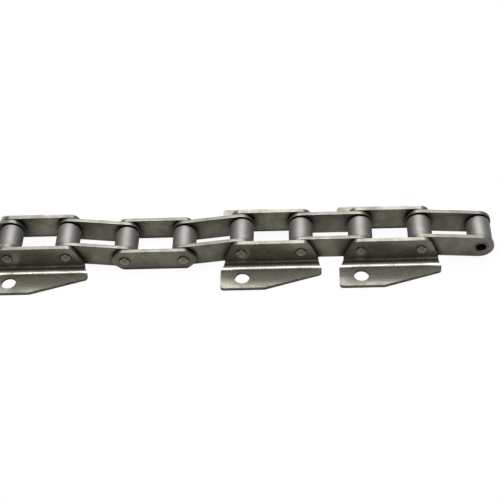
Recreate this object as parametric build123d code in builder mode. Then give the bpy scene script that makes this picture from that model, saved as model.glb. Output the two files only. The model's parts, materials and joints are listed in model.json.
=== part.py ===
"""A length of steel conveyor roller chain with bent attachment plates, built in millimetres.

Nine links of one pitch each lie along X, Y runs across the chain and Z is up. Inner links
(two plates pressed on two bushes, each bush with a free roller) alternate with outer links
(two plates on two riveted pins). Three of the four outer links carry attachment plates, whose
lower edges are bent outwards into drilled flanges. The chain lies as it would on a bench: the
attachment links stand on their flanges, the plain outer link and the first end rest on plate
edges, and the last end stands proud on its stiff joint. The origin is on the bench, halfway
between the two free bush bores.
"""
import os
from math import asin, cos, degrees, radians, tan

from build123d import *

# the links from left to right
links = ["inner", "attachment", "inner", "plain", "inner", "attachment", "inner", "attachment", "inner"]

# chain
pitch = 41.4
inner_width = 19.81             # clear width between the plates of an inner link
roller_diameter = 16.87
bush_diameter = 10.3
pin_diameter = 7.19

# flat plates
plate_thickness = 2.8
inner_plate_height = 19.2
inner_end_overhang = 9.1        # bore centre to the end of the plate
outer_plate_height = 18.7
outer_end_overhang = 9.0
outer_end_flat = 5.7            # height of each end, between the cuts across its corners
outer_corner_radius = 5.0

# attachment plates
pin_ride_height = 15.0          # undersides of the flanges to the pin centres
web_corner_radius = 6.5
web_end_overhang = 12.0         # pin centre to the end of the web, where the bend begins
web_end_lean = 21.0             # degrees that each end of the web leans in
bend_radius = 5.0               # inside the bend
flange_reach = 36.7             # chain centre to the outer edge of a flange
flange_taper_reach = 24.6       # chain centre to the same edge at the narrow end
flange_left_overhang = 15.1     # left pin to the square end
flange_right_overhang = 14.0    # right pin to the narrow end
flange_taper_start = 15.6       # left pin to the start of the taper
flange_corner_radius = 2.5
bolt_spacing = 55.0             # hole to hole, across the chain
bolt_hole_diameter = 10.5

# fits
pin_clearance = 0.08            # radial, pin in bush
roller_clearance = 0.10         # radial, roller on bush
roller_end_play = 1.21          # along the bush, between the two inner plates
plate_gap = 0.5                 # inner plate to outer plate
bush_stand_out = 0.25           # end of a bush past the plate that it is pressed in
pin_stand_out = 1.3             # end of a pin past the plate that it is riveted in

# height of the last bore, on the joint that is too stiff to let its link down
last_end_height = 12.0

# worked out from the sizes above
bush_bore = pin_diameter + 2 * pin_clearance
roller_bore = bush_diameter + 2 * roller_clearance
roller_length = inner_width - roller_end_play
inner_plate_y = (inner_width + plate_thickness) / 2
outer_plate_y = inner_plate_y + plate_thickness + plate_gap
outer_plate_outside = outer_plate_y + plate_thickness / 2
outer_corner_cut = (outer_plate_height - outer_end_flat) / 2
web_top = inner_plate_height / 2
bush_length = inner_width + 2 * (plate_thickness + bush_stand_out)
pin_length = 2 * (outer_plate_outside + pin_stand_out)
bend_start = bend_radius + plate_thickness - pin_ride_height
web_top_overhang = web_end_overhang - (web_top - bend_start) * tan(radians(web_end_lean))
chain_height = pin_ride_height + web_top

# Every piece below is made at the left pin of its own link: X along the link, Z up.
pin_centres = [(0, 0), (pitch, 0)]

with BuildPart() as inner_plate:
    with BuildSketch(Plane.XZ):
        with Locations((pitch / 2, 0)):
            SlotOverall(pitch + 2 * inner_end_overhang, inner_plate_height)
        with Locations(*pin_centres):
            Circle(bush_diameter / 2, mode=Mode.SUBTRACT)
    extrude(amount=plate_thickness / 2, both=True)

with BuildPart() as outer_plate:
    with BuildSketch(Plane.XZ) as outer_outline:
        with Locations((pitch / 2, 0)):
            Rectangle(pitch + 2 * outer_end_overhang, outer_plate_height)
        chamfer(outer_outline.vertices(), outer_corner_cut)
        fillet(outer_outline.vertices(), outer_corner_radius)
        with Locations(*pin_centres):
            Circle(pin_diameter / 2, mode=Mode.SUBTRACT)
    extrude(amount=plate_thickness / 2, both=True)

# An attachment plate is a bent strip, trimmed to the web's outline seen from the side
# and to the flange's outline seen from above.
with BuildPart() as attachment_plate_back:
    with BuildSketch(Plane.YZ.offset(-flange_left_overhang)):
        with BuildLine():
            FilletPolyline(
                (outer_plate_y, web_top),
                (outer_plate_y, plate_thickness / 2 - pin_ride_height),
                (flange_reach, plate_thickness / 2 - pin_ride_height),
                radius=bend_radius + plate_thickness / 2,
            )
        trace(line_width=plate_thickness)
    extrude(amount=flange_left_overhang + pitch + flange_right_overhang)

    with BuildSketch(Plane.XZ) as web_outline:
        with BuildLine():
            Polyline(
                (-flange_left_overhang, -pin_ride_height),
                (-flange_left_overhang, bend_start),
                (-web_end_overhang, bend_start),
                (-web_top_overhang, web_top),
                (pitch + web_top_overhang, web_top),
                (pitch + web_end_overhang, bend_start),
                (pitch + flange_right_overhang, bend_start),
                (pitch + flange_right_overhang, -pin_ride_height),
                close=True,
            )
        make_face()
        fillet(web_outline.vertices().group_by(Axis.Y)[-1], web_corner_radius)
        with Locations(*pin_centres):
            Circle(pin_diameter / 2, mode=Mode.SUBTRACT)
    extrude(amount=-flange_reach, mode=Mode.INTERSECT)

    with BuildSketch(Plane.XY.offset(-pin_ride_height)) as flange_outline:
        with BuildLine():
            Polyline(
                (-web_end_overhang, 0),
                (-web_end_overhang, outer_plate_outside),
                (-flange_left_overhang, outer_plate_outside + bend_radius),
                (-flange_left_overhang, flange_reach),
                (flange_taper_start, flange_reach),
                (pitch + flange_right_overhang, flange_taper_reach),
                (pitch + flange_right_overhang, outer_plate_outside + bend_radius),
                (pitch + web_end_overhang, outer_plate_outside),
                (pitch + web_end_overhang, 0),
                close=True,
            )
        make_face()
        outer_corners = flange_outline.vertices().filter_by_position(
            Axis.Y, flange_taper_reach, flange_reach
        )
        fillet(outer_corners, flange_corner_radius)
        with Locations((0, bolt_spacing / 2)):
            Circle(bolt_hole_diameter / 2, mode=Mode.SUBTRACT)
    extrude(amount=chain_height, mode=Mode.INTERSECT)

with BuildPart() as attachment_plate_front:
    mirror(attachment_plate_back.part, about=Plane.XZ)

with BuildPart() as bush:
    with BuildSketch(Plane.XZ):
        Circle(bush_diameter / 2)
        Circle(bush_bore / 2, mode=Mode.SUBTRACT)
    extrude(amount=bush_length / 2, both=True)

with BuildPart() as roller:
    with BuildSketch(Plane.XZ):
        Circle(roller_diameter / 2)
        Circle(roller_bore / 2, mode=Mode.SUBTRACT)
    extrude(amount=roller_length / 2, both=True)

with BuildPart() as pin:
    with BuildSketch(Plane.XZ):
        Circle(pin_diameter / 2)
    extrude(amount=pin_length / 2, both=True)


# The bench posture: joint number i is at the left end of link i + 1.
def rest_height(joint):
    """Height of a joint above the bench: on its link's flanges, or on the ends of inner plates."""
    if "attachment" in links[max(joint - 1, 0):joint + 1]:
        return pin_ride_height
    return last_end_height if joint == len(links) else inner_plate_height / 2


joint_z = [rest_height(joint) for joint in range(len(links) + 1)]
leans = [asin((end - start) / pitch) for start, end in zip(joint_z, joint_z[1:])]
joint_x = [-sum(pitch * cos(lean) for lean in leans) / 2]
for lean in leans:
    joint_x.append(joint_x[-1] + pitch * cos(lean))

link_pieces = {
    "inner": [
        ("inner_plate_front", inner_plate, 0, -inner_plate_y),
        ("inner_plate_back", inner_plate, 0, inner_plate_y),
        ("bush_left", bush, 0, 0),
        ("bush_right", bush, 1, 0),
        ("roller_left", roller, 0, 0),
        ("roller_right", roller, 1, 0),
    ],
    "plain": [
        ("outer_plate_front", outer_plate, 0, -outer_plate_y),
        ("outer_plate_back", outer_plate, 0, outer_plate_y),
        ("pin_left", pin, 0, 0),
        ("pin_right", pin, 1, 0),
    ],
    "attachment": [
        ("attachment_plate_front", attachment_plate_front, 0, 0),
        ("attachment_plate_back", attachment_plate_back, 0, 0),
        ("pin_left", pin, 0, 0),
        ("pin_right", pin, 1, 0),
    ],
}

os.makedirs("parts", exist_ok=True)
for index, kind in enumerate(links):
    for piece_name, piece, end, y in link_pieces[kind]:
        joint = index + end
        place = Location((joint_x[joint], y, joint_z[joint]), (0, -degrees(leans[index]), 0))
        placed = piece.part.moved(place)
        placed.label = f"link_{index + 1}_{piece_name}"
        export_step(placed, f"parts/{placed.label}.step")
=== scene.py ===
# %% [markdown]
# # A steel conveyor chain with bent attachment plates
#
# This lesson dresses a imported CAD model in Blender: nine links of roller chain that lie on a
# bench. The model already has every plate, bush, roller and pin in its right place, so the
# script adds what a CAD model lacks: softened edges, riveted pin ends, worn steel with painted
# shade in its corners, light, and a camera. All positions come from the model and are in metres.

# %% Load the model
import json
from math import cos, pi, radians, sin

import bpy
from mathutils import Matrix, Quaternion, Vector


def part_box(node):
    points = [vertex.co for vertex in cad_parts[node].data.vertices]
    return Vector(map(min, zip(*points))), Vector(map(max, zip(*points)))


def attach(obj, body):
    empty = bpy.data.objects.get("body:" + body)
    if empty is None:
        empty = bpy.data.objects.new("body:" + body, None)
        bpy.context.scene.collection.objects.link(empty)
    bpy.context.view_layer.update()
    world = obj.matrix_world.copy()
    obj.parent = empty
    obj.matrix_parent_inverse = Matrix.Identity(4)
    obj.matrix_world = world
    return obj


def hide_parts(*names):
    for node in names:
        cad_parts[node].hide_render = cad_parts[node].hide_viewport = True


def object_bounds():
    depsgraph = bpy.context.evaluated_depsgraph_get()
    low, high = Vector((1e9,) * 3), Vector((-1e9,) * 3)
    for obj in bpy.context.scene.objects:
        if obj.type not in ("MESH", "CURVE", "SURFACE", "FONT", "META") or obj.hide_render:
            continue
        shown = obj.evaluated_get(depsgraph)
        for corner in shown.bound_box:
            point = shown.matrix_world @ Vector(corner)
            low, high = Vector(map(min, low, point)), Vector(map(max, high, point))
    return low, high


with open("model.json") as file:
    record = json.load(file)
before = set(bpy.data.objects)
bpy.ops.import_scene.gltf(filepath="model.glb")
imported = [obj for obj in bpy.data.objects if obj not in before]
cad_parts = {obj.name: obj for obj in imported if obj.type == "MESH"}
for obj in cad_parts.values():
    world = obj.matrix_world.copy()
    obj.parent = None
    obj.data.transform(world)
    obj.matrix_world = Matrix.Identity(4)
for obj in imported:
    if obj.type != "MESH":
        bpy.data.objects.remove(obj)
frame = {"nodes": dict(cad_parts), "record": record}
cad_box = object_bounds()
nodes = frame["nodes"]
MM = 0.001
print(f"{len(nodes)} CAD pieces loaded")

# %% [markdown]
# ## Building node trees
#
# Blender's materials are graphs of nodes. Making each node takes several calls, so four short
# helpers do it: one makes a node with its values, and three make the nodes used most often and
# return the socket that the next node reads.


# %% Node helpers
def node(tree, kind, **values):
    """A new node, with the given inputs or properties set."""
    made = tree.nodes.new(kind)
    for name, value in values.items():
        if hasattr(made, name):
            setattr(made, name, value)
        else:
            made.inputs[name.replace("_", " ")].default_value = value
    return made


def noise(tree, vector, scale, detail=4.0, roughness=0.55):
    """The height of a noise of the given scale, over the given coordinates."""
    made = node(tree, "ShaderNodeTexNoise", Scale=scale, Detail=detail, Roughness=roughness)
    tree.links.new(vector, made.inputs["Vector"])
    return made.outputs["Fac"]


def remap(tree, value, low, high, to_low=0.0, to_high=1.0):
    """A value from the range low to high, clamped and taken to another range."""
    made = node(tree, "ShaderNodeMapRange")
    sockets = ("From Min", "From Max", "To Min", "To Max")
    for socket, number in zip(sockets, (low, high, to_low, to_high)):
        made.inputs[socket].default_value = number
    tree.links.new(value, made.inputs["Value"])
    return made.outputs["Result"]


def mix(tree, factor, first, second):
    """Two colours mixed. Each, and the factor, may be a socket or a constant."""
    made = node(tree, "ShaderNodeMix", data_type="RGBA")
    sockets = (made.inputs["Factor"], made.inputs[6], made.inputs[7])
    for socket, value in zip(sockets, (factor, first, second)):
        if isinstance(value, bpy.types.NodeSocket):
            tree.links.new(value, socket)
        else:
            socket.default_value = value
    return made.outputs[2]


def arithmetic(tree, operation, first, second):
    """The sum or product of two sockets."""
    made = node(tree, "ShaderNodeMath", operation=operation)
    tree.links.new(first, made.inputs[0])
    tree.links.new(second, made.inputs[1])
    return made.outputs[0]


# %% [markdown]
# ## Worn steel
#
# The chain is bare steel, never painted: it comes out of the press and the tumbling drum and
# is dipped in oil. Painting each piece by hand would not survive a change to the model, so one
# node group colours every surface from its place in space. It mixes a clean and a dull tone by
# cloudy patches of mill scale and adds a fine dark grain. It also paints shade into the corners
# and the gaps between parts, darker where other surfaces crowd close. Grain and drawn-out
# scratches make the relief. The group gives out a colour, a roughness and a normal, and each
# material feeds them to its own shader.

# %% The steel group
PATCH_SCALE = 95.0              # noises per metre: patches of about a centimetre
GRAIN_SCALE = 1500.0
SCRATCH_SCALE = 900.0
SCRATCH_STRETCH = 0.12          # scratches are drawn out along the chain
GRAIN_STRENGTH = 0.30
PATCH_ROUGHNESS = 0.07          # how much rougher the dull patches are
CORNER_REACH = 4.0 * MM
GRAIN_COLOUR = (0.02, 0.02, 0.018, 1.0)
# colour of the painted shade laid into corners and the gaps between parts
PAINTED_SHADE_COLOUR = (0.018, 0.016, 0.012, 1.0)


def steel_group():
    group = bpy.data.node_groups.new("worn_steel_and_painted_shade", "ShaderNodeTree")
    inputs = (("Clean", "NodeSocketColor"), ("Dull", "NodeSocketColor"), ("Polish", "NodeSocketFloat"))
    outputs = (("Color", "NodeSocketColor"), ("Roughness", "NodeSocketFloat"), ("Normal", "NodeSocketVector"))
    for name, kind in inputs:
        group.interface.new_socket(name, in_out="INPUT", socket_type=kind)
    for name, kind in outputs:
        group.interface.new_socket(name, in_out="OUTPUT", socket_type=kind)
    given = node(group, "NodeGroupInput")
    result = node(group, "NodeGroupOutput")
    place = node(group, "ShaderNodeTexCoord").outputs["Object"]

    drawn_out = node(group, "ShaderNodeMapping", Scale=(SCRATCH_STRETCH, 1.0, 1.0))
    group.links.new(place, drawn_out.inputs["Vector"])
    patches = remap(group, noise(group, place, PATCH_SCALE, 6.0, 0.62), 0.38, 0.66)
    grain = noise(group, place, GRAIN_SCALE, 3.0, 0.6)
    scratches = noise(group, drawn_out.outputs["Vector"], SCRATCH_SCALE, 2.0)

    tone = mix(group, patches, given.outputs["Clean"], given.outputs["Dull"])
    dark_grain = remap(group, grain, 0.35, 0.75, 0.0, GRAIN_STRENGTH)
    speckled = mix(group, dark_grain, tone, GRAIN_COLOUR)
    # painted shade: an ambient occlusion mask darkens corners and the gaps between parts
    corners = node(group, "ShaderNodeAmbientOcclusion", samples=8, Distance=CORNER_REACH)
    painted_corner_shade = remap(group, corners.outputs["AO"], 0.40, 1.00, 0.95, 0.0)
    group.links.new(mix(group, painted_corner_shade, speckled, PAINTED_SHADE_COLOUR), result.inputs["Color"])

    rougher = remap(group, patches, 0.0, 1.0, 0.0, PATCH_ROUGHNESS)
    roughness = arithmetic(group, "ADD", rougher, given.outputs["Polish"])
    group.links.new(roughness, result.inputs["Roughness"])

    bump = node(group, "ShaderNodeBump", Strength=0.35, Distance=0.05 * MM)
    group.links.new(arithmetic(group, "ADD", grain, scratches), bump.inputs["Height"])
    group.links.new(bump.outputs["Normal"], result.inputs["Normal"])
    return group


STEEL = steel_group()
print(f"node group {STEEL.name} has {len(STEEL.nodes)} nodes")

# %% [markdown]
# ## Six finishes
#
# Each kind of piece has its own history: plates are blanked from rolled strip, rollers and
# bushes are turned, pins are riveted, and edges are rubbed bright. They share the group and
# differ in their two tones, in how rough they are, and in how metallic: a matte film on the
# rollers scatters more light.


# %% Materials
def steel(name, clean, dull, polish, metallic=0.92):
    """A steel material. Polish is the roughness of its clean patches."""
    material = bpy.data.materials.new(name)
    material.use_nodes = True
    tree = material.node_tree
    shader = tree.nodes["Principled BSDF"]
    shader.inputs["Metallic"].default_value = metallic
    paint = node(tree, "ShaderNodeGroup", node_tree=STEEL)
    paint.inputs["Clean"].default_value = (*clean, 1.0)
    paint.inputs["Dull"].default_value = (*dull, 1.0)
    paint.inputs["Polish"].default_value = polish
    for output, socket in (("Color", "Base Color"), ("Roughness", "Roughness"), ("Normal", "Normal")):
        tree.links.new(paint.outputs[output], shader.inputs[socket])
    return material


PLATE = steel("plate_steel", (0.42, 0.405, 0.36), (0.27, 0.26, 0.22), 0.34)
ATTACHMENT = steel("attachment_steel", (0.45, 0.435, 0.38), (0.28, 0.265, 0.215), 0.24)
ROLLER = steel("roller_steel", (0.42, 0.408, 0.38), (0.33, 0.32, 0.295), 0.42, metallic=0.8)
PIN = steel("pin_steel", (0.55, 0.535, 0.49), (0.38, 0.365, 0.32), 0.34)
BUSH = steel("bush_steel", (0.28, 0.275, 0.25), (0.17, 0.165, 0.14), 0.36)
WORN_EDGE = steel("worn_edge", (0.46, 0.445, 0.40), (0.32, 0.305, 0.26), 0.34)
print("materials:", ", ".join(material.name for material in bpy.data.materials))

# %% [markdown]
# ## Soft edges
#
# Stamped plates and turned rollers have no razor edges. The CAD meshes stay as they are, and
# modifiers do the work on top of them. A weld joins the faces, and a dissolve merges the thin
# triangles of each flat face, which would otherwise leave stripes. A bevel then rounds what is
# sharp and gives the rounding its own, more worn material, and weighted normals keep the flat
# faces flat.

# %% Round the edges of the CAD pieces
PLATE_EDGE = 0.35 * MM          # rounding that blanking and tumbling leave on a plate
ROLLER_EDGE = 0.7 * MM
BUSH_EDGE = 0.2 * MM
WELD_REACH = 0.001 * MM


def round_edges(piece, width, material, edge_material):
    piece.data.materials.clear()
    piece.data.materials.append(material)
    piece.data.materials.append(edge_material)
    weld = piece.modifiers.new("join_faces", "WELD")
    weld.merge_threshold = WELD_REACH
    facets = piece.modifiers.new("merge_flat_triangles", "DECIMATE")
    facets.decimate_type = "DISSOLVE"
    facets.angle_limit = radians(1)
    bevel = piece.modifiers.new("round_edges", "BEVEL")
    bevel.width = width
    bevel.segments = 2
    bevel.limit_method = "ANGLE"
    bevel.angle_limit = radians(35)
    bevel.material = 1
    piece.modifiers.new("flat_faces", "WEIGHTED_NORMAL")


for name, piece in nodes.items():
    if "attachment_plate" in name:
        round_edges(piece, PLATE_EDGE, ATTACHMENT, WORN_EDGE)
    elif "plate" in name:
        round_edges(piece, PLATE_EDGE, PLATE, WORN_EDGE)
    elif "roller" in name:
        round_edges(piece, ROLLER_EDGE, ROLLER, ROLLER)
    elif "bush" in name:
        round_edges(piece, BUSH_EDGE, BUSH, WORN_EDGE)
print("edges rounded on", sum(len(piece.modifiers) > 0 for piece in nodes.values()), "pieces")

# %% [markdown]
# ## Riveted pins
#
# The press leaves each end of a pin with a chamfer and a dished centre. Such a round piece
# could be cut from a cylinder, but turning a profile is closer to how it is made: half of the
# pin, from the dish to the middle, is drawn once, mirrored, and turned about the pin's axis.
# Each turned pin takes the place of the plain CAD pin and moves with its link.

# %% Turn the pins
PIN_CHAMFER = 0.55 * MM
RIM_DROP = 0.05 * MM            # the rim lies this much below the edge of the dish
RIVET_DISH_RADIUS = 2.1 * MM    # dimple that the rivet punch leaves in a pin's end
RIVET_DISH_DEPTH = 0.6 * MM
DISH_STEPS = 4
PIN_SIDES = 64
PIN_EDGE = 0.12 * MM


def pin_profile(radius, half_length):
    """Points (radius, y) from the centre of one end to the centre of the other."""
    dish = []
    for step in range(DISH_STEPS + 1):
        part = step / DISH_STEPS
        dish.append((RIVET_DISH_RADIUS * part, half_length - RIVET_DISH_DEPTH * cos(part * pi / 2) ** 2))
    rim = [(radius - PIN_CHAMFER, half_length - RIM_DROP), (radius, half_length - PIN_CHAMFER)]
    return [(r, -y) for r, y in dish + rim] + [(r, y) for r, y in reversed(dish + rim)]


def turned_mesh(name, profile):
    """A profile turned about the Y axis."""
    count = len(profile)
    points, faces = [], []
    for turn in range(PIN_SIDES):
        angle = 2 * pi * turn / PIN_SIDES
        here, there = turn * count, (turn + 1) % PIN_SIDES * count
        points += [(r * cos(angle), y, r * sin(angle)) for r, y in profile]
        faces += [(here + k, there + k, there + k + 1, here + k + 1) for k in range(count - 1)]
    mesh = bpy.data.meshes.new(name)
    mesh.from_pydata(points, [], faces)
    mesh.validate()
    for face in mesh.polygons:
        face.use_smooth = True
    return mesh


def turned_pin(name, cad_pin):
    low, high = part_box(cad_pin)
    profile = pin_profile((high[0] - low[0]) / 2, (high[1] - low[1]) / 2)
    pin = bpy.data.objects.new(name, turned_mesh(name, profile))
    bpy.context.scene.collection.objects.link(pin)
    pin.data.materials.append(PIN)
    pin.location = (Vector(low) + Vector(high)) / 2
    weld = pin.modifiers.new("join_centre", "WELD")
    weld.merge_threshold = WELD_REACH
    bevel = pin.modifiers.new("soften", "BEVEL")
    bevel.width = PIN_EDGE
    bevel.segments = 2
    bevel.limit_method = "ANGLE"
    bevel.angle_limit = radians(30)
    pin.modifiers.new("flat_faces", "WEIGHTED_NORMAL")
    return pin


for body, members in frame["record"]["behaviour"]["bodies"].items():
    for member in members:
        if "_pin_" in member:
            pin = turned_pin(member.replace("_pin_", "_riveted_pin_"), member)
            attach(pin, body)
            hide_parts(member)
            print("turned", pin.name)

# %% [markdown]
# ## Floor
#
# The floor is plain and pale. The camera sees it almost white, with a trace of shadow under
# the chain. The steel sees a darker floor, as it would on a bench in a large room, because
# bare metal shows what is around it more than its own colour. The Light Path node tells the
# two apart.

# %% Floor
FLOOR_SIZE = 12.0
FLOOR_GAP = 0.05 * MM           # below the chain, so that the two never coincide
FLOOR_WHITE = 0.95              # share of plain white in what the camera sees of the floor


def floor_material():
    material = bpy.data.materials.new("floor")
    material.use_nodes = True
    tree = material.node_tree
    tree.nodes.remove(tree.nodes["Principled BSDF"])
    shaded = node(tree, "ShaderNodeBsdfDiffuse", Color=(0.9, 0.9, 0.9, 1.0))
    white = node(tree, "ShaderNodeEmission", Color=(1.0, 1.0, 1.0, 1.0), Strength=1.0)
    bench = node(tree, "ShaderNodeBsdfDiffuse", Color=(0.36, 0.35, 0.32, 1.0))
    pale = node(tree, "ShaderNodeMixShader", Fac=FLOOR_WHITE)
    either = node(tree, "ShaderNodeMixShader")
    camera_ray = node(tree, "ShaderNodeLightPath").outputs["Is Camera Ray"]
    tree.links.new(shaded.outputs[0], pale.inputs[1])
    tree.links.new(white.outputs[0], pale.inputs[2])
    tree.links.new(camera_ray, either.inputs["Fac"])
    tree.links.new(bench.outputs[0], either.inputs[1])
    tree.links.new(pale.outputs[0], either.inputs[2])
    tree.links.new(either.outputs[0], tree.nodes["Material Output"].inputs["Surface"])
    return material


bpy.ops.mesh.primitive_plane_add(size=FLOOR_SIZE, location=(0.0, 0.0, cad_box[0][2] - FLOOR_GAP))
floor = bpy.context.object
floor.name = "floor"
floor.data.materials.append(floor_material())
print("floor at z =", round(floor.location.z, 6))

# %% [markdown]
# ## Sky
#
# The metal mirrors a dome that is brightest overhead and behind the chain, and dark in front
# and at both sides. That gives bright bends and plate edges, dark webs, and rollers that fade
# at their sides. Each fade is a range of one coordinate of the direction, and their product
# is the dome's strength. The camera itself sees plain white.

# %% World
world = bpy.data.worlds.new("studio")
bpy.context.scene.world = world
world.use_nodes = True
sky = world.node_tree
sky.nodes.clear()
direction = node(sky, "ShaderNodeSeparateXYZ")
sky.links.new(node(sky, "ShaderNodeTexCoord").outputs["Generated"], direction.inputs[0])
sideways = node(sky, "ShaderNodeMath", operation="ABSOLUTE")
sky.links.new(direction.outputs["X"], sideways.inputs[0])

overhead = remap(sky, direction.outputs["Z"], 0.6, 1.0, 0.50, 1.8)
behind = remap(sky, direction.outputs["Y"], -0.65, 0.05, 0.08, 1.0)
middle = remap(sky, sideways.outputs[0], 0.35, 0.90, 1.0, 0.25)
strength = arithmetic(sky, "MULTIPLY", arithmetic(sky, "MULTIPLY", overhead, behind), middle)

dome = node(sky, "ShaderNodeBackground")
sky.links.new(strength, dome.inputs["Strength"])
backdrop = node(sky, "ShaderNodeBackground", Color=(1.0, 1.0, 1.0, 1.0), Strength=1.0)
chosen = node(sky, "ShaderNodeMixShader")
sky.links.new(node(sky, "ShaderNodeLightPath").outputs["Is Camera Ray"], chosen.inputs["Fac"])
sky.links.new(dome.outputs[0], chosen.inputs[1])
sky.links.new(backdrop.outputs[0], chosen.inputs[2])
sky.links.new(chosen.outputs[0], node(sky, "ShaderNodeOutputWorld").inputs["Surface"])
print("world:", world.name)

# %% [markdown]
# ## Lamps
#
# Two soft boxes add to the dome: a large one overhead, which the bends mirror as a bright
# band, and a weaker one behind, which lifts the flanges and the tops of the plates.


# %% Lights
def softbox(name, place, size, watts):
    """A rectangular lamp that faces the origin."""
    lamp = bpy.data.lights.new(name, "AREA")
    lamp.shape = "RECTANGLE"
    lamp.size, lamp.size_y = size
    lamp.energy = watts
    box = bpy.data.objects.new(name, lamp)
    bpy.context.scene.collection.objects.link(box)
    box.location = place
    box.rotation_mode = "QUATERNION"
    box.rotation_quaternion = (-Vector(place)).to_track_quat("-Z", "Y")
    print(f"softbox {name}: {watts} W")


softbox("overhead", (0.0, 0.10, 1.1), (1.1, 0.5), 10.0)
softbox("back", (0.0, 1.2, 1.3), (1.2, 0.5), 3.0)

# %% [markdown]
# ## Camera
#
# The camera looks down on the chain from the front and a little from the right, rolled so
# that the chain rises slightly. It is placed on a sphere around the point that it looks at,
# so that each angle can be changed by itself.

# %% Camera
ELEVATION = 49.07
TO_THE_RIGHT = 4.84             # degrees round from straight in front
ROLL = -5.0
DISTANCE = 0.808
LENS = 81.55
LOOK_AT = Vector((0.0251, 0.0, 0.0))

camera = bpy.data.objects.new("camera", bpy.data.cameras.new("camera"))
bpy.context.scene.collection.objects.link(camera)
bpy.context.scene.camera = camera
camera.data.lens = LENS
camera.data.sensor_width = 36.0
camera.data.clip_start = 0.01
towards_camera = Vector((
    sin(radians(TO_THE_RIGHT)) * cos(radians(ELEVATION)),
    -cos(radians(TO_THE_RIGHT)) * cos(radians(ELEVATION)),
    sin(radians(ELEVATION)),
))
camera.location = LOOK_AT + towards_camera * DISTANCE
camera.rotation_mode = "QUATERNION"
level = (-towards_camera).to_track_quat("-Z", "Y")
camera.rotation_quaternion = level @ Quaternion((0.0, 0.0, 1.0), radians(ROLL))
bpy.context.scene.view_settings.view_transform = "Standard"
print("camera at", tuple(round(value, 3) for value in camera.location))
